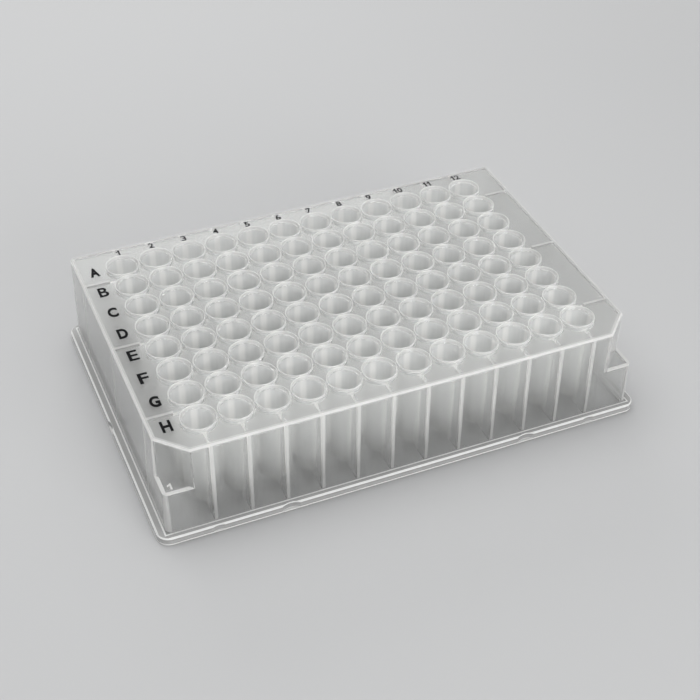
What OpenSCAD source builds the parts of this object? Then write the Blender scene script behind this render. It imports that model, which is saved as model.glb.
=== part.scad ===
// Deep-well plate with round wells: 12 columns by 8 rows in one moulding.
// Millimetres, +Z up, origin under the middle of the footprint. Column 1 is at
// -X and row A at +Y. The plate stands on the lower face of its flange, and the
// underside is open between the skirt and the tubes.

/* [Footprint] */
// Length of the base flange
base_length = 127.76; // [100:0.01:160]
// Width of the base flange
base_width = 85.48; // [60:0.01:120]
// Corner radius of the base flange
base_corner = 3.18; // [1:0.01:8]
// Height of the flange
flange_height = 2.41; // [1.5:0.01:8]
// Bevel on the outer edges of the flange
flange_bevel = 0.3; // [0.1:0.05:0.8]

/* [Body] */
// Height from the table to the crest of the well rims
total_height = 27; // [20:0.1:50]
// Ledge that the flange leaves at each short side of the body
end_step = 2.13; // [1.5:0.01:5]
// Ledge that the flange leaves at each long side of the body
side_step = 1.74; // [1.5:0.01:5]
// How far each side leans in between the flange and the deck
body_draft = 0.4; // [0:0.05:1]
// Corner radius of the body
body_corner = 1.5; // [1:0.1:4]
// Bevel around the edge of the deck
deck_bevel = 0.35; // [0.1:0.05:1]
// Thickness of the deck
deck_thick = 1.3; // [0.8:0.1:3]
// Thickness of the skirt
skirt_wall = 1.1; // [0.8:0.05:2]

/* [Cut corners] */
// Leg of the 45 degree cut at corners H1 and H12
corner_cut = 6.8; // [3:0.1:10]
// Height of the ledge under each cut
ledge_height = 14.7; // [6:0.1:22]

/* [Wells] */
// Distance between well centres
pitch = 9; // [8:0.5:18]
// Least margin between the square cells of the wells and the foot of the body
least_margin = 4; // [3:0.1:9]
// Diameter of the bore under the lead-in
well_top = 7.5; // [4:0.1:8.5]
// How much narrower the bore is where the round bottom starts
well_taper = 0.5; // [0.1:0.1:2]
// Air between two tubes, which sets the thickness of their walls
tube_gap = 0.2; // [0.1:0.05:1]
// Height of the tubes' round bottoms over the table
tube_foot = 1.95; // [1.5:0.05:5]
// Height of the rim crest over the deck
rim_height = 0.8; // [0.2:0.1:2]
// Room between two rims
rim_gap = 0.3; // [0.1:0.05:1]
// Width of the flat crest of the rim
rim_crest = 0.2; // [0.1:0.05:0.6]
// Depth of the lead-in bevel inside the rim
lead_in = 0.9; // [0.3:0.1:2]

/* [Ribs] */
// Thickness of the ribs and webs
rib = 0.9; // [0.6:0.1:1.6]
// Height of the lower edge of the webs between the tubes
web_foot = 8; // [3:0.5:20]
// Ribs from the end columns to each short side
end_ribs = 3; // [1:1:6]
// Rows from one of these ribs to the next
end_rib_step = 3; // [1:1:6]

/* [Stacking] */
// Depth of the recess that fits over the deck of the plate below
recess_depth = 1.2; // [0.5:0.1:2]
// Room on each side between the recess and that deck
recess_room = 0.7; // [0.2:0.05:1]
// Air between the ribs and the rims of the plate below
stack_gap = 0.1; // [0.05:0.05:1]

/* [Flange scallops] */
// Radius of the scallops
scallop = 4.15; // [2:0.05:8]
// Bite of the scallops under the third column from each end
bite_long = 0.7; // [0.2:0.05:1]
// Bite of the scallops under the end columns
bite_corner = 0.3; // [0.1:0.05:1]
// Bite of the scallop in the middle of each short side
bite_short = 0.5; // [0.2:0.05:1]
// Height of the lip left under each scallop
scallop_lip = 0.6; // [0.4:0.1:2]

/* [Hidden] */
$fn = 48;
skin = 0.02; // thickness of a slice used inside hull()
body_length = base_length - 2 * end_step;
body_width = base_width - 2 * side_step;
columns = floor((body_length - 2 * least_margin) / pitch);
rows = floor((body_width - 2 * least_margin) / pitch);
deck_top = total_height - rim_height;
deck_under = deck_top - deck_thick;
deck_middle = deck_top - deck_thick / 2; // tubes, rims and ribs meet here
tube_wall = (pitch - tube_gap - well_top) / 2;
well_low = well_top - well_taper;
well_start = tube_foot + tube_wall + well_low / 2; // centre of the round bottom
lead_end = total_height - lead_in;
rim_outer = pitch - rim_gap;
rim_inner = rim_outer - 2 * rim_crest;
rib_foot = recess_depth + rim_height + stack_gap;
half_length = body_length / 2 - body_draft; // half the deck
half_width = body_width / 2 - body_draft;
cut_reach = (half_length + half_width - corner_cut) / sqrt(2); // axis to the slanted face
inner_corner = max(0.4, body_corner - skirt_wall);
rib_end_x = half_length - skirt_wall / 2; // ribs end inside the skirt
rib_end_y = half_width - skirt_wall / 2;
first_x = column_x(columns); // axis of an end column
first_y = row_y(1);

function column_x(c) = (c - (columns + 1) / 2) * pitch;
function row_y(r) = ((rows + 1) / 2 - r) * pitch;
// How far the skirt leans in at height z
function lean(z) = body_draft * (z - flange_height) / (deck_top - flange_height);

assert(tube_wall > 0.1, "the bores leave no wall at this pitch");
assert(tube_foot > recess_depth, "the tubes must end above the recess");

// Rectangle with round corners, centred on the axis.
module outline(length, width, corner) {
    square([length - 2 * corner, width], center = true);
    square([length, width - 2 * corner], center = true);
    for (x = [-1, 1], y = [-1, 1])
        translate([x * (length / 2 - corner), y * (width / 2 - corner)])
            circle(corner);
}

// Thin slice of the body at height z, drawn in by inset.
module body_slice(z, inset, corner) {
    shrink = 2 * (lean(z) + inset);
    translate([0, 0, z - skin])
        linear_extrude(skin)
            outline(body_length - shrink, body_width - shrink, corner);
}

module flange_slice(z, inset) {
    translate([0, 0, z])
        linear_extrude(skin)
            outline(base_length - 2 * inset, base_width - 2 * inset, base_corner - inset);
}

// Block outside the slanted face of corner H1 (side = -1) or H12 (side = 1).
// inset moves the face into the body and drop lowers the ledge. The block is as long
// as the plate, but only the corner lies beyond its face.
module corner_block(side, inset, drop) {
    face = cut_reach - inset;
    over = deck_bevel + 1;
    rotate([90, 0, side > 0 ? -45 : -135])
        linear_extrude(base_length, center = true)
            polygon([
                [face, ledge_height - drop],
                [face + 3 * corner_cut, ledge_height - drop],
                [face + 3 * corner_cut, deck_top + 1],
                [face - over, deck_top + 1],
                [face, deck_top - deck_bevel]
            ]);
}

// The skirt and deck as a solid block, with its two cut corners.
module block() {
    difference() {
        hull() {
            body_slice(flange_height / 2, 0, body_corner);
            body_slice(deck_top - deck_bevel, 0, body_corner);
            body_slice(deck_top, deck_bevel, body_corner - deck_bevel);
        }
        for (side = [-1, 1])
            corner_block(side, 0, 0);
    }
}

// The hollow under the deck, one wall inside the block.
module hollow() {
    difference() {
        hull() {
            body_slice(-1, skirt_wall, inner_corner);
            body_slice(deck_under, skirt_wall, inner_corner);
        }
        for (side = [-1, 1])
            corner_block(side, skirt_wall, skirt_wall);
    }
}

module flange() {
    hull() {
        flange_slice(0, flange_bevel);
        flange_slice(flange_bevel, 0);
        flange_slice(flange_height - flange_bevel - skin, 0);
        flange_slice(flange_height - skin, flange_bevel);
    }
}

// Recess that centres this plate on the deck of another.
module recess() {
    translate([0, 0, -1])
        linear_extrude(recess_depth + 1)
            outline(2 * (half_length + recess_room), 2 * (half_width + recess_room), body_corner);
}

module scallop_at(x, y) {
    translate([x, y, scallop_lip])
        cylinder(r = scallop, h = flange_height);
}

// Shallow round bites in the flange: four on each long side, one on each short side.
module scallops() {
    for (end = [-1, 1]) {
        for (side = [-1, 1]) {
            scallop_at(end * column_x(columns - 2), side * (base_width / 2 + scallop - bite_long));
            scallop_at(end * first_x, side * (base_width / 2 + scallop - bite_corner));
        }
        scallop_at(end * (base_length / 2 + scallop - bite_short), 0);
    }
}

// Right half of a tube's section: a tapered wall on a round bottom.
module tube_section(top, low, z_top, round_by) {
    intersection() {
        union() {
            translate([0, well_start])
                circle(low / 2 + round_by);
            polygon([
                [0, well_start],
                [low / 2 + round_by, well_start],
                [top / 2 + round_by, z_top],
                [0, z_top]
            ]);
        }
        square([pitch, 2 * total_height]);
    }
}

// Outside of one well: the tube under the deck and the raised rim over it.
module tube() {
    rotate_extrude()
        tube_section(well_top, well_low, deck_middle, tube_wall);
    translate([0, 0, deck_middle])
        cylinder(d = rim_outer, h = total_height - deck_under - deck_thick / 2);
}

// Inside of one well: the bore and its lead-in.
module bore() {
    rotate_extrude() {
        tube_section(well_top, well_low, lead_end, 0);
        polygon([
            [0, lead_end],
            [well_top / 2, lead_end],
            [rim_inner / 2, total_height],
            [rim_inner / 2, total_height + 1],
            [0, total_height + 1]
        ]);
    }
}

module at_wells() {
    for (c = [1 : columns], r = [1 : rows])
        translate([column_x(c), row_y(r), 0])
            children();
}

// Web through every tube of a column, carried on to both long sides.
module column_web() {
    rotate([90, 0, 90])
        linear_extrude(rib, center = true)
            polygon([
                [-rib_end_y, rib_foot],
                [-first_y, rib_foot],
                [-first_y, web_foot],
                [first_y, web_foot],
                [first_y, rib_foot],
                [rib_end_y, rib_foot],
                [rib_end_y, deck_middle],
                [-rib_end_y, deck_middle]
            ]);
}

// Web through every tube of a row.
module row_web() {
    translate([-first_x, -rib / 2, web_foot])
        cube([2 * first_x, rib, deck_middle - web_foot]);
}

// Rib between two rows, from an end column out to the short side at +X.
module end_rib() {
    rotate([90, 0, 0])
        linear_extrude(rib, center = true)
            polygon([
                [first_x, web_foot],
                [first_x + well_low / 2, rib_foot],
                [rib_end_x, rib_foot],
                [rib_end_x, deck_middle],
                [first_x, deck_middle]
            ]);
}

module ribs() {
    for (c = [1 : columns])
        translate([column_x(c), 0, 0])
            column_web();
    for (r = [1 : rows])
        translate([0, row_y(r), 0])
            row_web();
    for (k = [0 : end_ribs - 1])
        translate([0, (k - (end_ribs - 1) / 2) * end_rib_step * pitch, 0]) {
            end_rib();
            rotate([0, 0, 180])
                end_rib();
        }
}

module shell() {
    difference() {
        union() {
            block();
            flange();
        }
        hollow();
        recess();
        scallops();
    }
}

module plate() {
    color("GhostWhite", 0.7)
        difference() {
            union() {
                shell();
                ribs();
                at_wells()
                    tube();
            }
            at_wells()
                bore();
        }
}

plate();
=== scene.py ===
"""Dresses a deep-well plate: resin on the moulding, printed row letters and column
numbers, a raised corner figure, and a pale stage with soft light.

Everything is in metres in the plate's own frame: +X from column 1 to column 12, +Y from
row H to row A, +Z up, with the origin under the middle of the footprint.
"""

import math
from functools import reduce

import bpy
import numpy as np
from mathutils import Matrix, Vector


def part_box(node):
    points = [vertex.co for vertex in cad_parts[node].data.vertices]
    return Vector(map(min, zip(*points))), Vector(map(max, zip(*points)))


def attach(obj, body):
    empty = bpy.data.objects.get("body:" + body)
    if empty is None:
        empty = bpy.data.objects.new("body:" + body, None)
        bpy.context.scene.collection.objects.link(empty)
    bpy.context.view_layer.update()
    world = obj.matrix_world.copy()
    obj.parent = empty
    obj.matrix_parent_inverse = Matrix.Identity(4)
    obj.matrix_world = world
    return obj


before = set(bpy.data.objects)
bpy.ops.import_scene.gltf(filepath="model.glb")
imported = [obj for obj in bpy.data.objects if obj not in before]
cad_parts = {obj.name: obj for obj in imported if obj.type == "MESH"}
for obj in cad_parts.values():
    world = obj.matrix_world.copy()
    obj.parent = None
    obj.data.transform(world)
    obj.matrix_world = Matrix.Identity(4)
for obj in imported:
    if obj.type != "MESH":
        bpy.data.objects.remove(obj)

bl_info = {
    "name": "Deep-well plate",
    "version": (1, 0, 0),
    "blender": (4, 5, 0),
    "location": "View3D > Sidebar > Well plate",
    "description": "Resin, lettering and stage for a deep-well plate",
    "category": "Object",
}

MM = 0.001
PLATE = "plate"
ROWS = "ABCDEFGH"
COLUMNS = 12
PITCH = 9 * MM
END_STEP, SIDE_STEP = 2.13 * MM, 1.74 * MM  # what the flange leaves beside the body
DRAFT = 0.4 * MM  # how far the skirt leans in on its way up
SKIRT = 1.1 * MM  # thickness of the skirt
RIM = 0.8 * MM  # height of the well rims over the deck
LEAD_IN = 0.9 * MM  # depth of the bevel inside each rim
RIB_BAND = 0.72 * MM  # width of the white band in front of a rib
END_RIBS = 3 * PITCH  # from one rib to the next on the short sides
OVER_FLANGE = 2.5 * MM  # the skirt's marks start here
CORNER_CUT = 6.8 * MM  # leg of the cuts at corners H1 and H12
LEDGE = 14.7 * MM  # height of the ledge under each cut
LOW, HIGH = (np.array(corner, float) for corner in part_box(PLATE))
DECK_TOP = HIGH[2] - RIM
DECK_EDGE = DECK_TOP - 0.5 * MM  # the skirt's marks end and the deck's start here
UNDER_DECK = DECK_TOP - 1.5 * MM  # the tubes' marks end here
BODY_X, BODY_Y = HIGH[0] - END_STEP, HIGH[1] - SIDE_STEP  # half the body at its foot
DECK_X, DECK_Y = BODY_X - DRAFT, BODY_Y - DRAFT  # half the deck
WELLS_X, WELLS_Y = COLUMNS * PITCH / 2, len(ROWS) * PITCH / 2  # half the field of wells

SOFT = 0.1 * MM  # over what width a mark fades
LEAST_SPREAD = 0.02  # least that a character's outline is moved out, in font units
ONE_SHARE = 0.66  # width of a figure 1 as a share of the other figures
FLOOR_SIZE = 8.0
EVEN_FROM, EVEN_WITHIN = 0.20, 0.25  # how far out, and over what distance, the floor turns even
ROOM_TINT = (0.985, 0.99, 1.0)
SENSOR = 36  # millimetres, like the lens


# ---------------------------------------------------------------- settings


class ResinSettings(bpy.types.PropertyGroup):
    """The natural resin of the moulding."""

    colour: bpy.props.FloatVectorProperty(
        name="Milk", description="Colour of the milk in the resin",
        subtype="COLOR", size=3, min=0, max=1, default=(0.945, 0.943, 0.93))
    tint: bpy.props.FloatVectorProperty(
        name="Tint", description="Colour of what is seen through the resin",
        subtype="COLOR", size=3, min=0, max=1, default=(0.858, 0.865, 0.86))
    haze: bpy.props.FloatProperty(
        name="Haze depth", description="Thickness of resin that hides most of what is behind",
        subtype="DISTANCE", min=0.0005, max=0.05, default=9.0 * MM)
    tube_haze: bpy.props.FloatProperty(
        name="Haze depth of the tubes", description="The same for the tubes and webs",
        subtype="DISTANCE", min=0.0002, max=0.05, default=0.6 * MM)
    deck_haze: bpy.props.FloatProperty(
        name="Haze depth of the deck", description="The same for the deck and the rims",
        subtype="DISTANCE", min=0.0005, max=0.05, default=3.5 * MM)
    skin: bpy.props.FloatProperty(
        name="Skin", description="Share of light that the outermost skin scatters",
        subtype="FACTOR", min=0, max=1, default=0.07)
    # Whiter resin at the thin edges, mostly a painted highlight along the flange, deck edge, rims and
    # corners.
    edges: bpy.props.FloatProperty(
        name="Edges", description="Milkiness of the thin edges",
        subtype="FACTOR", min=0, max=1, default=1.0)
    ribs: bpy.props.FloatProperty(
        name="Ribs", description="Milkiness where a rib stands behind the wall",
        subtype="FACTOR", min=0, max=1, default=0.5)
    bores: bpy.props.FloatProperty(
        name="Bores", description="Milkiness of the walls of the bores",
        subtype="FACTOR", min=0, max=1, default=0.55)
    # Painted shade: the darker colour given to the bores between the webs, where little light gets down
    # into the tubes.
    painted_shade: bpy.props.FloatVectorProperty(
        name="Shade", description="Colour of the bores between the webs behind them",
        subtype="COLOR", size=3, min=0, max=1, default=(0.75, 0.76, 0.765))
    passing: bpy.props.FloatProperty(
        name="Light passing", description="Share of the lamps' light that passes each surface",
        subtype="FACTOR", min=0, max=1, default=0.84)
    margin_passing: bpy.props.FloatProperty(
        name="Light passing the margin", description="The same at the deck beside the wells",
        subtype="FACTOR", min=0, max=1, default=0.55)
    foot_passing: bpy.props.FloatProperty(
        name="Light passing the foot", description="The same at the foot of the skirt",
        subtype="FACTOR", min=0, max=1, default=0.5)
    tube_passing: bpy.props.FloatProperty(
        name="Light passing the tube ends", description="The same at the ends of the tubes",
        subtype="FACTOR", min=0, max=1, default=0.2)
    stray: bpy.props.FloatProperty(
        name="Stray light", description="Share of scattered light that goes straight through",
        subtype="FACTOR", min=0, max=1, default=0.27)
    foot_stray: bpy.props.FloatProperty(
        name="Stray light at the foot", description="The same at the foot of the plate",
        subtype="FACTOR", min=0, max=1, default=0.9)
    satin: bpy.props.FloatProperty(
        name="Satin", description="Roughness of the moulded surface",
        subtype="FACTOR", min=0, max=1, default=0.16)
    bend: bpy.props.FloatProperty(
        name="Refraction", description="Refractive index of the resin",
        min=1, max=2, default=1.49)
    ripple: bpy.props.FloatProperty(
        name="Ripple", description="Height of the slow ripple that moulding leaves",
        subtype="DISTANCE", min=0, max=0.001, default=0.00004)


class LetteringSettings(bpy.types.PropertyGroup):
    """The printed row letters and column numbers."""

    ink: bpy.props.FloatVectorProperty(
        name="Ink", description="Colour of the printing ink",
        subtype="COLOR", size=3, min=0, max=1, default=(0.006, 0.006, 0.007))
    film: bpy.props.FloatProperty(
        name="Ink film", description="Thickness of the printed ink",
        subtype="DISTANCE", min=0, max=0.0002, default=0.03 * MM)
    letter_height: bpy.props.FloatProperty(
        name="Letter height", description="Height of the row letters",
        subtype="DISTANCE", min=0.001, max=0.006, default=3.9 * MM)
    letter_width: bpy.props.FloatProperty(
        name="Letter width", description="Width of a row letter",
        subtype="DISTANCE", min=0.001, max=0.006, default=2.5 * MM)
    letter_x: bpy.props.FloatProperty(
        name="Letters from the middle", description="Distance of the letters' middle line",
        subtype="DISTANCE", default=-57.0 * MM)
    letter_shift: bpy.props.FloatProperty(
        name="Letters off the rows", description="How far a letter is printed past its row",
        subtype="DISTANCE", default=0.4 * MM)
    number_height: bpy.props.FloatProperty(
        name="Number height", description="Height of the column numbers",
        subtype="DISTANCE", min=0.001, max=0.004, default=2.2 * MM)
    number_width: bpy.props.FloatProperty(
        name="Figure width", description="Width of one figure",
        subtype="DISTANCE", min=0.0005, max=0.004, default=1.4 * MM)
    number_gap: bpy.props.FloatProperty(
        name="Figure gap", description="Room between the two figures of a number",
        subtype="DISTANCE", min=0, max=0.002, default=0.3 * MM)
    number_y: bpy.props.FloatProperty(
        name="Numbers from the middle", description="Distance of the numbers' middle line",
        subtype="DISTANCE", default=38.1 * MM)
    number_shift: bpy.props.FloatProperty(
        name="Numbers off the columns", description="How far a number is printed past its column",
        subtype="DISTANCE", default=0.55 * MM)
    letter_stroke: bpy.props.FloatProperty(
        name="Letter stroke", description="Width of a row letter's stem",
        subtype="DISTANCE", min=0.0002, max=0.002, default=0.66 * MM)
    number_stroke: bpy.props.FloatProperty(
        name="Figure stroke", description="Width of a figure's stem",
        subtype="DISTANCE", min=0.0001, max=0.001, default=0.42 * MM)


class FigureSettings(bpy.types.PropertyGroup):
    """The raised 1 on the ledge of corner H1."""

    place: bpy.props.FloatVectorProperty(
        name="Figure", description="Place of the raised figure",
        subtype="TRANSLATION", size=3, default=(-59.4 * MM, -38.6 * MM, LEDGE))
    height: bpy.props.FloatProperty(
        name="Figure height", description="Height of the raised figure",
        subtype="DISTANCE", min=0.001, max=0.004, default=1.8 * MM)
    cell: bpy.props.FloatProperty(
        name="Figure cell", description="Width of a full figure at this height",
        subtype="DISTANCE", min=0.0005, max=0.004, default=1.5 * MM)
    relief: bpy.props.FloatProperty(
        name="Relief", description="How far the figure is raised",
        subtype="DISTANCE", min=0, max=0.001, default=0.3 * MM)


class StageSettings(bpy.types.PropertyGroup):
    """Floor, lights and camera."""

    floor: bpy.props.FloatVectorProperty(
        name="Floor", description="Colour of the floor and the backdrop",
        subtype="COLOR", size=3, min=0, max=1, default=(0.60, 0.603, 0.605))
    world: bpy.props.FloatProperty(
        name="Room light", description="Strength of the even light of the room",
        min=0, max=2, default=0.42)
    key: bpy.props.FloatProperty(
        name="Key light", description="Power of the overhead soft box",
        subtype="POWER", min=0, max=100, default=2.0)
    fill: bpy.props.FloatProperty(
        name="Fill light", description="Power of the side soft box",
        subtype="POWER", min=0, max=100, default=2.4)
    back: bpy.props.FloatProperty(
        name="Back light", description="Power of the soft box behind the plate",
        subtype="POWER", min=0, max=100, default=1.2)
    place: bpy.props.FloatVectorProperty(
        name="Camera", description="Place of the camera",
        subtype="TRANSLATION", size=3, default=(-110.18 * MM, -255.14 * MM, 237.04 * MM))
    azimuth: bpy.props.FloatProperty(
        name="Azimuth", description="Direction of the camera round the plate",
        subtype="ANGLE", default=math.radians(-23.658))
    elevation: bpy.props.FloatProperty(
        name="Elevation", description="Angle of the camera over the floor",
        subtype="ANGLE", default=math.radians(39.600))
    roll: bpy.props.FloatProperty(
        name="Roll", description="Turn of the camera about its own axis",
        subtype="ANGLE", default=math.radians(1.059))
    lens: bpy.props.FloatProperty(
        name="Lens", description="Focal length in millimetres", min=10, max=300, default=70.33)


class WellPlateSettings(bpy.types.PropertyGroup):
    """All settings of the dressed plate."""

    resin: bpy.props.PointerProperty(type=ResinSettings)
    lettering: bpy.props.PointerProperty(type=LetteringSettings)
    figure: bpy.props.PointerProperty(type=FigureSettings)
    stage: bpy.props.PointerProperty(type=StageSettings)


# ---------------------------------------------------------------- meshes


def mesh_piece(name, corners, faces, material):
    """An object at the origin from an array of corners and a list of faces."""
    mesh = bpy.data.meshes.new(name)
    mesh.from_pydata(np.asarray(corners).tolist(), [], faces)
    mesh.update()
    piece = bpy.data.objects.new(name, mesh)
    piece.data.materials.append(material)
    bpy.context.scene.collection.objects.link(piece)
    return piece


def one_mesh():
    """Corners and faces of a figure 1, one unit tall and one thick: a stem that takes two
    fifths of the width, and a slanted flag at its upper left."""
    outline = np.array([(0.34, 0), (0.60, 0), (0.60, 1), (0.40, 1), (0.24, 0.84), (0.0, 0.74),
                        (0.0, 0.55), (0.20, 0.62), (0.34, 0.72)])
    count = len(outline)
    corners = np.vstack([np.column_stack([outline, np.full(count, z)]) for z in (-0.5, 0.5)])
    ring = np.arange(count)
    following = np.roll(ring, -1)
    sides = np.column_stack([ring, following, following + count, ring + count])
    top = [tuple(ring[[2, 3, 8]] + count), tuple(ring[[3, 4, 7, 8]] + count),
           tuple(ring[[4, 5, 6, 7]] + count), tuple(ring[[0, 1, 2, 8]] + count)]
    under = [tuple(corner - count for corner in reversed(face)) for face in top]
    return corners, top + under + [tuple(side) for side in sides.tolist()]


def font_mesh(character, spread=0.0):
    """Corners and faces of one character of the built-in font, one unit thick, with its
    outline moved out by spread."""
    curve = bpy.data.curves.new("glyph", "FONT")
    curve.body = character
    curve.offset = spread
    curve.resolution_u = 6
    curve.extrude = 0.5
    holder = bpy.data.objects.new("glyph", curve)
    bpy.context.scene.collection.objects.link(holder)
    bpy.context.view_layer.update()
    shape = bpy.data.meshes.new_from_object(
        holder.evaluated_get(bpy.context.evaluated_depsgraph_get()))
    corners = np.empty(3 * len(shape.vertices))
    shape.vertices.foreach_get("co", corners)
    faces = [tuple(face.vertices) for face in shape.polygons]
    bpy.data.objects.remove(holder)
    bpy.data.curves.remove(curve)
    bpy.data.meshes.remove(shape)
    if not len(corners):
        raise RuntimeError(f"no outline for {character}")
    return corners.reshape(-1, 3), faces


def character_mesh(character, width, stroke):
    """A character whose stems are one stroke wide once it is fitted to the width.

    With the font's stem s, the character's own width w and the spread d, the stem comes
    out as (s + 2 d) width / (w + 2 d), which is solved for d. A 9 is a 6 turned half round.
    """
    if character == "1":
        return one_mesh()
    if character == "9":
        corners, faces = character_mesh("6", width, stroke)
        return corners * (-1, -1, 1), faces
    stem, own = (np.ptp(font_mesh(what)[0][:, 0]) for what in ("I", character))
    spread = (stroke / width * own - stem) / (2 - 2 * stroke / width)
    return font_mesh(character, max(LEAST_SPREAD, spread))


def from_middle(index, count):
    """How far the line with this index lies from the middle of a row of count lines."""
    return (index - (count - 1) / 2) * PITCH


def lettering_piece(name, words, places, height, width, gap, stroke, film, material):
    """One piece of several words, each centred at its place.

    Every character is fitted to a cell: (corner - low) / (high - low) times the width,
    the height and the film. A 1 takes a narrower cell. The cells of a word follow each
    other a gap apart, and half the word's length is taken off all of them.
    """
    all_corners, all_faces, count = [], [], 0
    for word, place in zip(words, places):
        widths = [width * (ONE_SHARE if character == "1" else 1.0) for character in word]
        left = place[0] - (sum(widths) + gap * (len(word) - 1)) / 2
        for character, wide in zip(word, widths):
            corners, faces = character_mesh(character, wide, stroke)
            low, high = corners.min(axis=0), corners.max(axis=0)
            corners = (corners - low) / (high - low) * (wide, height, film)
            all_corners.append(corners + (left, place[1] - height / 2, place[2]))
            all_faces += [tuple(count + corner for corner in face) for face in faces]
            count += len(corners)
            left += wide + gap
    return mesh_piece(name, np.vstack(all_corners), all_faces, material)


def sheet_mesh(size, z):
    """Corners and face of a level square at height z, with its corners half its size from
    the middle on both sides."""
    half = size / 2
    corners = np.array([(-half, -half, z), (half, -half, z), (half, half, z), (-half, half, z)])
    return corners, [(0, 1, 2, 3)]


# ---------------------------------------------------------------- materials


class Nodes:
    """Short calls for building a node tree."""

    def __init__(self, tree):
        self.tree = tree

    def add(self, kind, **values):
        """A new node of this kind, with these properties."""
        node = self.tree.nodes.new(kind)
        for name, value in values.items():
            setattr(node, name, value)
        return node

    def link(self, source, target):
        self.tree.links.new(source, target)

    def feed(self, socket, value):
        """Link a value that is a socket, or set one that is a constant."""
        if isinstance(value, bpy.types.NodeSocket):
            self.link(value, socket)
        else:
            socket.default_value = value

    def math(self, operation, first, second=0.0):
        """One step of arithmetic with one or two values."""
        node = self.add("ShaderNodeMath", operation=operation)
        self.feed(node.inputs[0], first)
        self.feed(node.inputs[1], second)
        return node.outputs[0]

    def times(self, *values):
        """The product of several values; of several masks, where all of them hold."""
        return reduce(lambda first, second: self.math("MULTIPLY", first, second), values)

    def most(self, *values):
        """The largest of several values; of several masks, where any of them holds."""
        return reduce(lambda first, second: self.math("MAXIMUM", first, second), values)

    def size(self, value):
        """The value without its sign."""
        return self.math("ABSOLUTE", value)

    def noise(self, where, scale, detail=2.0):
        """Noise from 0 to 1 with this many spots in a metre."""
        node = self.add("ShaderNodeTexNoise")
        self.link(where, node.inputs["Vector"])
        node.inputs["Scale"].default_value = scale
        node.inputs["Detail"].default_value = detail
        return node.outputs["Fac"]

    def span(self, value, low, high, to_low=0.0, to_high=1.0):
        """From to_low at low to to_high at high, and level beyond both."""
        node = self.add("ShaderNodeMapRange")
        for name, what in (("Value", value), ("From Min", low), ("From Max", high),
                           ("To Min", to_low), ("To Max", to_high)):
            self.feed(node.inputs[name], what)
        return node.outputs["Result"]

    def rise(self, value, start, width=SOFT):
        """0 under start, 1 past start + width, and even in between."""
        return self.span(value, start, start + width)

    def fall(self, value, start, width=SOFT):
        """1 under start, 0 past start + width, and even in between."""
        return self.span(value, start, start + width, 1.0, 0.0)

    def near(self, value, centre, half):
        """1 within this half width of the centre, fading to 0 beyond it."""
        return self.fall(self.size(self.math("SUBTRACT", value, centre)), half)

    def beyond(self, x, y, half_x, half_y):
        """How far a place lies past a rectangle with these half sides; less than 0 inside."""
        return self.most(self.math("SUBTRACT", x, half_x), self.math("SUBTRACT", y, half_y))

    def nearest(self, value, step, shift):
        """Distance to the nearest line of a row of lines a step apart, which is shifted
        by this share of a step: the fraction of value / step, folded about a half."""
        half = 0.5
        whole = 20  # keeps the fraction's argument above 0
        part = self.math("ADD", self.math("DIVIDE", value, step), whole + half - shift)
        part = self.math("FRACT", part)
        return self.math("MULTIPLY", self.size(self.math("SUBTRACT", part, half)), step)

    def mix(self, share, first, second):
        """A mix of two shaders, with this share of the second."""
        node = self.add("ShaderNodeMixShader")
        self.feed(node.inputs["Fac"], share)
        self.link(first, node.inputs[1])
        self.link(second, node.inputs[2])
        return node.outputs["Shader"]


def new_material(name):
    """An empty material with nodes, and the calls for building its tree."""
    material = bpy.data.materials.new(name)
    material.use_nodes = True
    material.node_tree.nodes.clear()
    return material, Nodes(material.node_tree)


def past_cuts(nodes, far_x, y):
    """How far a place lies past the slanted faces of the two cut corners."""
    along = nodes.math("SUBTRACT", far_x, y)
    return nodes.math("MULTIPLY", nodes.math("SUBTRACT", along, DECK_X + DECK_Y - CORNER_CUT),
                      math.sqrt(0.5))


def corner_marks(nodes, far_x, far_y, z, cut):
    """Painted highlights at the corners, as whiter resin: the margin and the figure of each
    ledge, the upright edges of the cuts, and the round corners of the skirt."""
    margin_white, upright_white, round_white, figure_white = 0.75, 0.6, 0.45, 0.8
    margin_width, upright_width, round_reach = 0.8 * MM, 0.4 * MM, 1.0 * MM
    near_ledge, near_cut, near_figure = 0.3 * MM, 0.35 * MM, 0.5 * MM
    figure_foot, figure_inset = 0.03 * MM, 0.3 * MM
    wall = nodes.beyond(far_x, far_y, DECK_X, DECK_Y)
    margin = nodes.times(nodes.near(z, LEDGE, near_ledge), nodes.rise(cut, 0.0, SOFT / 2),
                         nodes.rise(wall, -margin_width, 2 * SOFT))
    upright = nodes.times(nodes.rise(cut, -near_cut),
                          nodes.rise(nodes.math("SUBTRACT", far_x, DECK_X), -upright_width, 2 * SOFT),
                          nodes.rise(z, LEDGE - near_ledge, 2 * SOFT))
    outwards = nodes.math("ADD", far_x, far_y)
    rounded = nodes.times(nodes.rise(outwards, DECK_X + DECK_Y - round_reach, 5 * SOFT),
                          nodes.rise(z, OVER_FLANGE, 3 * SOFT))
    figure = nodes.times(nodes.rise(z, LEDGE + figure_foot, SOFT / 5),
                         nodes.near(z, LEDGE, near_figure), nodes.rise(cut, figure_inset))
    return nodes.most(nodes.times(margin, margin_white), nodes.times(upright, upright_white),
                      nodes.times(rounded, round_white), nodes.times(figure, figure_white))


def rim_marks(nodes, z):
    """Whiter resin over the deck, which is the rims, and most at their crests: a painted
    highlight for the light that the rims catch and the glints on their crests.
    """
    over_deck, at_crest = 0.38, 0.15
    crest = 0.15 * MM
    return nodes.math("ADD", nodes.times(nodes.rise(z, HIGH[2] - crest), at_crest),
                      nodes.times(nodes.rise(z, DECK_TOP + SOFT / 2), over_deck))


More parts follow.
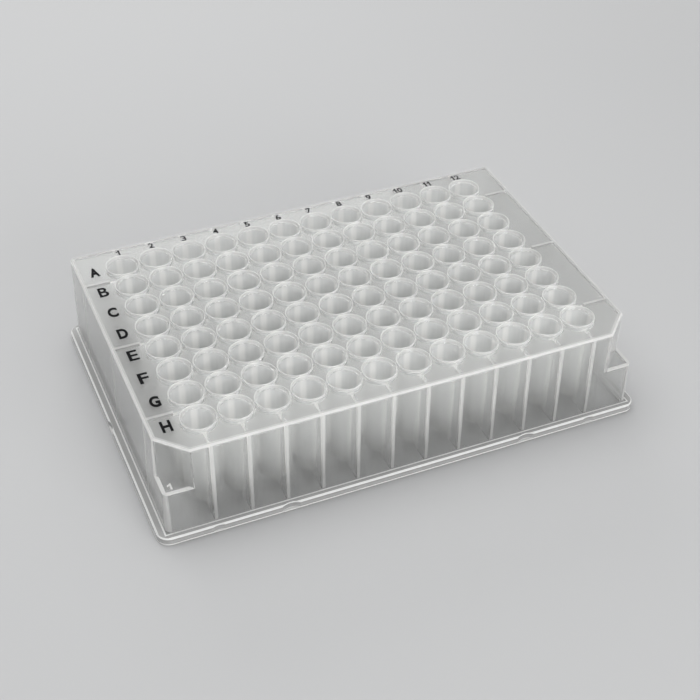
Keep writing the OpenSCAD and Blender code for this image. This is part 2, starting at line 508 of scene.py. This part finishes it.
def flange_marks(nodes, far_x, far_y, z):
    """Painted highlights on the flange, as whiter resin: a line round its lower and its upper
    edge, and on its upper face one line at the outer bevel and one at the foot of the
    skirt, over a flange that is a little whiter all over."""
    plain = 0.3
    lower_line, upper_line, upper_face, end = 0.4 * MM, 2.2 * MM, 2.3 * MM, 2.6 * MM
    lower_half, upper_half = 0.25 * MM, 0.15 * MM
    bevel_line, foot_line, foot_half = 0.5 * MM, 0.2 * MM, 0.25 * MM
    past_rim = nodes.beyond(far_x, far_y, HIGH[0], HIGH[1])
    past_foot = nodes.beyond(far_x, far_y, BODY_X, BODY_Y)
    sides = nodes.most(nodes.near(z, lower_line, lower_half), nodes.near(z, upper_line, upper_half))
    on_top = nodes.times(nodes.most(nodes.rise(past_rim, -bevel_line),
                                    nodes.near(past_foot, foot_line, foot_half)),
                         nodes.rise(z, upper_face, SOFT / 2))
    return nodes.times(nodes.most(sides, on_top, plain), nodes.rise(past_foot, 0.0), nodes.fall(z, end))


def deck_marks(nodes, far_x, far_y, z, cut):
    """Whiter resin round the deck: the band over the skirt, where the skirt's resin stands
    under it, and most at its outer edge, where it is a painted highlight.
    """
    over_skirt, at_edge = 0.45, 0.3
    edge = 0.5 * MM
    past = nodes.most(nodes.beyond(far_x, far_y, DECK_X, DECK_Y), cut)
    margin = nodes.math("ADD", nodes.times(nodes.rise(past, -SKIRT, 1.5 * SOFT), over_skirt),
                        nodes.times(nodes.rise(past, -edge), at_edge))
    return nodes.times(margin, nodes.rise(z, DECK_EDGE))


def rib_marks(nodes, far_x, far_y, z):
    """The bands of the skirt and the deck that have a rib behind them: one at every
    column, and one at every third row line of the short sides."""
    over_column = nodes.times(nodes.fall(nodes.nearest(far_x, PITCH, 0.5), RIB_BAND / 2),
                              nodes.rise(far_y, WELLS_Y), nodes.fall(far_x, WELLS_X),
                              nodes.fall(z, DECK_EDGE))
    over_end = nodes.times(nodes.fall(nodes.nearest(far_y, END_RIBS, 0.0), RIB_BAND / 2),
                           nodes.rise(far_x, WELLS_X), nodes.fall(far_y, WELLS_Y))
    return nodes.times(nodes.most(over_column, over_end), nodes.rise(z, OVER_FLANGE, 2 * SOFT))


def bore_marks(nodes, far_x, far_y, z, wells):
    """The walls of the bores, and those parts of them that lie between the webs, where the
    painted shade goes.

    The distance from the nearest well's axis is the root of the sum of the squares of
    the distances from the nearest column and row, and it tells a bore from the outside
    of its tube.
    """
    wall, round_bottom = 3.93 * MM, 6.5 * MM
    web, off_web = 0.5 * MM, 1.1 * MM
    aside, along = nodes.nearest(far_x, PITCH, 0.5), nodes.nearest(far_y, PITCH, 0.5)
    radius = nodes.math("SQRT", nodes.math("ADD", nodes.times(aside, aside), nodes.times(along, along)))
    bores = nodes.times(wells, nodes.fall(radius, wall, SOFT / 2),
                        nodes.rise(z, round_bottom, 5 * SOFT), nodes.fall(z, HIGH[2] - LEAD_IN))
    return bores, nodes.times(bores, nodes.span(nodes.math("MINIMUM", aside, along), web, off_web))


def moulding_marks():
    """Group that reads a place on the plate and puts out masks from 0 to 1.

    Edges: how much whiter rims, flange, deck margin and corners are, as painted highlights
    and, over the skirt, as thicker resin. Ribs: where a rib stands behind the wall. Tubes:
    all that stands under the wells. Bores: their walls.
    Between: the bores' walls between two webs, where shade is painted. Deck: the deck and
    all over it. Margin: the deck beside the wells. Foot: the lower part of the plate, fading
    out upwards. Streaks: noise drawn out along the height, which also streaks the painted
    shade.
    """
    tree = bpy.data.node_groups.new("moulding_marks", "ShaderNodeTree")
    tree.interface.new_socket("Place", in_out="INPUT", socket_type="NodeSocketVector")
    nodes = Nodes(tree)
    place = nodes.add("NodeGroupInput").outputs["Place"]
    split = nodes.add("ShaderNodeSeparateXYZ")
    nodes.link(place, split.inputs["Vector"])
    x, y, z = split.outputs

    foot, foot_fade = 5 * MM, 7 * MM
    streaks_per_metre, drawn_out, fine = 1500.0, 0.05, 3.0
    no_streak, full_streak = 0.35, 0.75
    far_x, far_y = nodes.size(x), nodes.size(y)
    cut = past_cuts(nodes, far_x, y)
    wells = nodes.times(nodes.fall(far_x, WELLS_X), nodes.fall(far_y, WELLS_Y))
    bores, between = bore_marks(nodes, far_x, far_y, z, wells)
    deck = nodes.rise(z, UNDER_DECK + SOFT / 2)
    drawn = nodes.add("ShaderNodeMapping")
    drawn.inputs["Scale"].default_value = (1.0, 1.0, drawn_out)
    nodes.link(place, drawn.inputs["Vector"])
    masks = {
        # Mostly painted highlight: whiter resin along edges and crests.
        "Edges": nodes.most(rim_marks(nodes, z), flange_marks(nodes, far_x, far_y, z),
                            deck_marks(nodes, far_x, far_y, z, cut),
                            corner_marks(nodes, far_x, far_y, z, cut)),
        "Ribs": rib_marks(nodes, far_x, far_y, z),
        "Tubes": nodes.times(wells, nodes.fall(z, UNDER_DECK)),
        "Bores": bores,
        # Where the shade is painted.
        "Between": between,
        "Deck": deck,
        "Margin": nodes.times(deck, nodes.math("SUBTRACT", 1.0, wells)),
        "Foot": nodes.fall(z, foot, foot_fade),
        "Streaks": nodes.span(nodes.noise(drawn.outputs["Vector"], streaks_per_metre, fine),
                              no_streak, full_streak),
    }
    for name in masks:
        tree.interface.new_socket(name, in_out="OUTPUT", socket_type="NodeSocketFloat")
    out = nodes.add("NodeGroupOutput")
    for name, mask in masks.items():
        nodes.link(mask, out.inputs[name])
    return tree


def clear_resin(nodes, where, streaks, settings):
    """The clear share of the resin: it bends light, with a satin skin and a slow ripple."""
    clear = nodes.add("ShaderNodeBsdfPrincipled")
    clear.inputs["Base Color"].default_value = (*settings.tint, 1)
    clear.inputs["IOR"].default_value = settings.bend
    clear.inputs["Transmission Weight"].default_value = 1.0
    smoother, rougher, ripples_per_metre = 0.03, 0.05, 90.0
    satin = nodes.span(streaks, 0.0, 1.0, settings.satin - smoother, settings.satin + rougher)
    nodes.link(satin, clear.inputs["Roughness"])
    bump = nodes.add("ShaderNodeBump")
    bump.inputs["Strength"].default_value = 0.35
    bump.inputs["Distance"].default_value = settings.ripple
    nodes.link(nodes.noise(where, ripples_per_metre), bump.inputs["Height"])
    nodes.link(bump.outputs["Normal"], clear.inputs["Normal"])
    return clear.outputs["BSDF"]


def milky_resin(nodes, marks, settings):
    """The milky share of the resin, with a painted shade, streaked, on the bores between the
    webs, where little light gets down.
    Part of its light comes from behind, and less of it at the thin edges."""
    least_shaded = 0.75
    # Painted shade, streaked, on the bores between the webs.
    tone = nodes.add("ShaderNodeMix", data_type="RGBA")
    streaked = nodes.span(marks["Streaks"], 0.0, 1.0, least_shaded, 1.0)
    nodes.link(nodes.times(marks["Between"], streaked), tone.inputs["Factor"])
    tone.inputs["A"].default_value = (*settings.colour, 1)
    tone.inputs["B"].default_value = (*settings.painted_shade, 1)
    front = nodes.add("ShaderNodeBsdfDiffuse")
    nodes.link(tone.outputs["Result"], front.inputs["Color"])
    back = nodes.add("ShaderNodeBsdfTranslucent")
    nodes.link(tone.outputs["Result"], back.inputs["Color"])
    # At the painted highlights on the edges, less of the light comes from behind, so they are lit from
    # the front.
    from_behind, at_edges = 0.5, 0.15
    share = nodes.span(marks["Edges"], 0.0, 1.0, from_behind, at_edges)
    return nodes.mix(share, front.outputs["BSDF"], back.outputs["BSDF"])


def milkiness(nodes, marks, path, settings):
    """How milky the resin looks.

    A ray bends in at the front of a wall and meets its back from inside, so there the
    ray's length is the thickness that it crossed. The milkiness is 1 minus the
    exponential of that thickness over the haze depth: thin walls stay clear, and thick
    ones turn white. The skin, the edges, the ribs and the bores have their own least,
    and the one at the edges is partly painted highlight.
    """
    inside = nodes.add("ShaderNodeNewGeometry").outputs["Backfacing"]
    rate = nodes.span(marks["Tubes"], 0.0, 1.0, -1.0 / settings.haze, -1.0 / settings.tube_haze)
    rate = nodes.span(marks["Deck"], 0.0, 1.0, rate, -1.0 / settings.deck_haze)
    clear = nodes.math("EXPONENT", nodes.times(path["Ray Length"], rate))
    streak = 0.08
    skin = nodes.span(marks["Streaks"], 0.0, 1.0, settings.skin, settings.skin + streak)
    return nodes.most(nodes.times(nodes.math("SUBTRACT", 1.0, clear), inside), skin,
                      nodes.times(marks["Edges"], settings.edges),
                      nodes.times(marks["Ribs"], settings.ribs),
                      nodes.times(marks["Bores"], settings.bores))


def light_passing(nodes, marks, path, settings):
    """The share of rays that go straight through, and a grey surface for them to cross.

    Rays towards the lamps all go straight through, and so does a part of the scattered
    light, more of it at the foot than above. The grey says how much of it gets through.
    """
    above = nodes.span(marks["Margin"], 0.0, 1.0, settings.passing, settings.margin_passing)
    below = nodes.span(marks["Tubes"], 0.0, 1.0, settings.foot_passing, settings.tube_passing)
    through = nodes.add("ShaderNodeBsdfTransparent")
    nodes.link(nodes.span(marks["Foot"], 0.0, 1.0, above, below), through.inputs["Color"])
    stray = nodes.span(marks["Foot"], 0.0, 1.0, settings.stray, settings.foot_stray)
    straight = nodes.most(path["Is Shadow Ray"], nodes.times(path["Is Diffuse Ray"], stray))
    return straight, through.outputs["BSDF"]


def resin_material(settings):
    """Natural translucent resin: clear and milky shares, and light that passes it."""
    material, nodes = new_material("natural_resin")
    where = nodes.add("ShaderNodeTexCoord").outputs["Object"]
    path = nodes.add("ShaderNodeLightPath").outputs
    group = nodes.add("ShaderNodeGroup", node_tree=moulding_marks())
    nodes.link(where, group.inputs["Place"])
    marks = group.outputs

    body = nodes.mix(milkiness(nodes, marks, path, settings),
                     clear_resin(nodes, where, marks["Streaks"], settings),
                     milky_resin(nodes, marks, settings))
    straight, through = light_passing(nodes, marks, path, settings)
    output = nodes.add("ShaderNodeOutputMaterial")
    nodes.link(nodes.mix(straight, body, through), output.inputs["Surface"])
    return material


def ink_material(settings):
    """Matt black printing ink with a faint unevenness."""
    material, nodes = new_material("printing_ink")
    where = nodes.add("ShaderNodeTexCoord").outputs["Object"]
    output = nodes.add("ShaderNodeOutputMaterial")
    surface = nodes.add("ShaderNodeBsdfPrincipled")
    surface.inputs["Base Color"].default_value = (*settings.ink, 1)
    grains_per_metre, fine = 2600.0, 3.0
    little, much, smoothest, roughest = 0.3, 0.7, 0.52, 0.70
    grain = nodes.noise(where, grains_per_metre, fine)
    nodes.link(nodes.span(grain, little, much, smoothest, roughest), surface.inputs["Roughness"])
    surface.inputs["Specular IOR Level"].default_value = 0.05
    bump = nodes.add("ShaderNodeBump")
    bump.inputs["Strength"].default_value = 0.2
    bump.inputs["Distance"].default_value = 0.01 * MM
    nodes.link(grain, bump.inputs["Height"])
    nodes.link(bump.outputs["Normal"], surface.inputs["Normal"])
    nodes.link(surface.outputs["BSDF"], output.inputs["Surface"])
    return material


def ink():
    """The ink material, made once."""
    return (bpy.data.materials.get("printing_ink")
            or ink_material(bpy.context.scene.well_plate.lettering))


def seen_directly(nodes):
    """1 for a ray from the camera, a reflection or a refraction, and 0 for other light."""
    path = nodes.add("ShaderNodeLightPath").outputs
    return nodes.most(path["Is Camera Ray"], path["Is Glossy Ray"], path["Is Transmission Ray"])


def floor_material(settings):
    """Plain matt paper with a very faint grain.

    Far from the plate it is seen in one even tone, the backdrop's. From below it is
    see-through, so that the underside can be looked at.
    """
    material, nodes = new_material("pale_floor")
    where = nodes.add("ShaderNodeTexCoord").outputs["Object"]
    output = nodes.add("ShaderNodeOutputMaterial")
    paper = nodes.add("ShaderNodeBsdfPrincipled")
    paper.inputs["Base Color"].default_value = (*settings.floor, 1)
    paper.inputs["Roughness"].default_value = 0.9
    paper.inputs["Specular IOR Level"].default_value = 0.1
    bump = nodes.add("ShaderNodeBump")
    bump.inputs["Strength"].default_value = 0.05
    bump.inputs["Distance"].default_value = 0.02 * MM
    fibres_per_metre = 900.0
    nodes.link(nodes.noise(where, fibres_per_metre), bump.inputs["Height"])
    nodes.link(bump.outputs["Normal"], paper.inputs["Normal"])
    distance = nodes.add("ShaderNodeVectorMath", operation="LENGTH")
    nodes.link(where, distance.inputs[0])
    far = nodes.rise(distance.outputs["Value"], EVEN_FROM, EVEN_WITHIN)
    even = nodes.add("ShaderNodeEmission")
    even.inputs["Color"].default_value = (*settings.floor, 1)
    above = nodes.mix(nodes.times(far, seen_directly(nodes)), paper.outputs["BSDF"],
                      even.outputs["Emission"])
    below = nodes.add("ShaderNodeBsdfTransparent").outputs["BSDF"]
    under = nodes.add("ShaderNodeNewGeometry").outputs["Backfacing"]
    nodes.link(nodes.mix(under, above, below), output.inputs["Surface"])
    return material


# ---------------------------------------------------------------- lights and camera


def camera_matrix(place, azimuth, elevation, roll):
    """Azimuth 0 looks along +Y. The camera's back axis is (sin a cos e, -cos a cos e,
    sin e), its right axis is level, and both cross axes then turn by the roll."""
    back = np.array([math.sin(azimuth) * math.cos(elevation),
                     -math.cos(azimuth) * math.cos(elevation), math.sin(elevation)])
    level = np.array([math.cos(azimuth), math.sin(azimuth), 0.0])
    above = np.cross(back, level)
    right = math.cos(roll) * level + math.sin(roll) * above
    up = math.cos(roll) * above - math.sin(roll) * level
    matrix = np.eye(4)
    matrix[:3, :3] = np.stack([right, up, back], axis=1)
    matrix[:3, 3] = place
    return Matrix(matrix.tolist())


def soft_box(name, power, size, place, target):
    """A square area light of this size at a place, facing a target."""
    light = bpy.data.lights.new(name, "AREA")
    light.energy, light.size = power, size
    lamp = bpy.data.objects.new(name, light)
    lamp.visible_camera = False
    bpy.context.scene.collection.objects.link(lamp)
    back = np.subtract(place, target).astype(float)
    back /= np.linalg.norm(back)
    azimuth = math.atan2(back[0], -back[1])
    lamp.matrix_world = camera_matrix(place, azimuth, math.asin(back[2]), 0.0)


def room_light(scene, settings):
    """Even light from all sides; what looks straight at it sees the floor's colour."""
    world = bpy.data.worlds.new("room")
    world.use_nodes = True
    world.node_tree.nodes.clear()
    nodes = Nodes(world.node_tree)
    light = nodes.add("ShaderNodeBackground")
    light.inputs["Color"].default_value = (*ROOM_TINT, 1)
    light.inputs["Strength"].default_value = settings.world
    backdrop = nodes.add("ShaderNodeBackground")
    backdrop.inputs["Color"].default_value = (*settings.floor, 1)
    backdrop.inputs["Strength"].default_value = 1.0
    output = nodes.add("ShaderNodeOutputWorld")
    surface = nodes.mix(seen_directly(nodes), light.outputs["Background"],
                        backdrop.outputs["Background"])
    nodes.link(surface, output.inputs["Surface"])
    scene.world = world


# ---------------------------------------------------------------- operators


class WELLPLATE_OT_resin(bpy.types.Operator):
    """Give the moulding its natural translucent resin"""

    bl_idname = "wellplate.resin"
    bl_label = "Resin on the moulding"

    def execute(self, context):
        plate = bpy.data.objects[PLATE]
        material = resin_material(context.scene.well_plate.resin)
        if not plate.material_slots:
            plate.data.materials.append(material)
        for slot in plate.material_slots:
            slot.material = material
        return {"FINISHED"}


class WELLPLATE_OT_row_letters(bpy.types.Operator):
    """Print the row letters on the deck"""

    bl_idname = "wellplate.row_letters"
    bl_label = "Row letters"

    def execute(self, context):
        settings = context.scene.well_plate.lettering
        places = [(settings.letter_x, settings.letter_shift - from_middle(row, len(ROWS)), DECK_TOP)
                  for row in range(len(ROWS))]
        piece = lettering_piece("row_letters", ROWS, places, settings.letter_height,
                                settings.letter_width, 0.0, settings.letter_stroke,
                                settings.film, ink())
        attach(piece, "root")
        return {"FINISHED"}


class WELLPLATE_OT_column_numbers(bpy.types.Operator):
    """Print the column numbers on the deck"""

    bl_idname = "wellplate.column_numbers"
    bl_label = "Column numbers"

    def execute(self, context):
        settings = context.scene.well_plate.lettering
        places = [(settings.number_shift + from_middle(column, COLUMNS), settings.number_y, DECK_TOP)
                  for column in range(COLUMNS)]
        words = [str(column + 1) for column in range(COLUMNS)]
        piece = lettering_piece("column_numbers", words, places, settings.number_height,
                                settings.number_width, settings.number_gap,
                                settings.number_stroke, settings.film, ink())
        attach(piece, "root")
        return {"FINISHED"}


class WELLPLATE_OT_corner_figure(bpy.types.Operator):
    """Raise a small figure on the ledge of the cut corner"""

    bl_idname = "wellplate.corner_figure"
    bl_label = "Corner figure"

    def execute(self, context):
        settings = context.scene.well_plate.figure
        piece = lettering_piece("corner_figure", "1", [settings.place], settings.height,
                                settings.cell, 0.0, 0.0, settings.relief,
                                bpy.data.materials["natural_resin"])
        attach(piece, "root")
        return {"FINISHED"}


class WELLPLATE_OT_stage(bpy.types.Operator):
    """Set up the floor, the soft light and the camera"""

    bl_idname = "wellplate.stage"
    bl_label = "Stage"

    def execute(self, context):
        settings = context.scene.well_plate.stage
        corners, faces = sheet_mesh(FLOOR_SIZE, LOW[2])
        floor = mesh_piece("floor", corners, faces, floor_material(settings))
        middle, base = (0, 0, 0.01), (0, 0, 0)
        soft_box("key_light", settings.key, size=0.55, place=(-0.12, 0.12, 0.62), target=base)
        soft_box("fill_light", settings.fill, size=0.40, place=(0.14, -0.62, 0.15), target=middle)
        soft_box("back_light", settings.back, size=0.45, place=(0.05, 0.60, 0.20), target=middle)
        room_light(context.scene, settings)
        camera = bpy.data.objects.new("camera", bpy.data.cameras.new("camera"))
        context.scene.collection.objects.link(camera)
        camera.data.sensor_width = SENSOR
        camera.data.lens = settings.lens
        camera.data.clip_start, camera.data.clip_end = 0.01, 20
        camera.matrix_world = camera_matrix(settings.place, settings.azimuth,
                                            settings.elevation, settings.roll)
        context.scene.camera = camera
        context.scene.view_settings.view_transform = "Standard"
        cycles = context.scene.cycles
        cycles.max_bounces = cycles.transmission_bounces = 12  # a ray crosses many walls
        cycles.transparent_max_bounces = 12
        cycles.diffuse_bounces = 3
        return {"FINISHED"}


# ---------------------------------------------------------------- panel and add-on


class WELLPLATE_PT_sidebar(bpy.types.Panel):
    """The plate's settings and steps"""

    bl_idname = "WELLPLATE_PT_sidebar"
    bl_label = "Well plate"
    bl_space_type = "VIEW_3D"
    bl_region_type = "UI"
    bl_category = "Well plate"

    def draw(self, context):
        settings = context.scene.well_plate
        for group in (settings.resin, settings.lettering, settings.figure, settings.stage):
            box = self.layout.box()
            for name in group.bl_rna.properties.keys():
                if name not in ("rna_type", "name"):
                    box.prop(group, name)
        for step in STEPS:
            self.layout.operator(step.bl_idname)


STEPS = (
    WELLPLATE_OT_resin,
    WELLPLATE_OT_row_letters,
    WELLPLATE_OT_column_numbers,
    WELLPLATE_OT_corner_figure,
    WELLPLATE_OT_stage,
)
CLASSES = (ResinSettings, LetteringSettings, FigureSettings, StageSettings, WellPlateSettings,
           *STEPS, WELLPLATE_PT_sidebar)


def register():
    for cls in CLASSES:
        bpy.utils.register_class(cls)
    bpy.types.Scene.well_plate = bpy.props.PointerProperty(type=WellPlateSettings)


def unregister():
    del bpy.types.Scene.well_plate
    for cls in reversed(CLASSES):
        bpy.utils.unregister_class(cls)


def main():
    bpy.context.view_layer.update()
    register()
    bpy.ops.wellplate.resin()
    bpy.ops.wellplate.row_letters()
    bpy.ops.wellplate.column_numbers()
    bpy.ops.wellplate.corner_figure()
    bpy.ops.wellplate.stage()


if __name__ == "__main__":
    main()
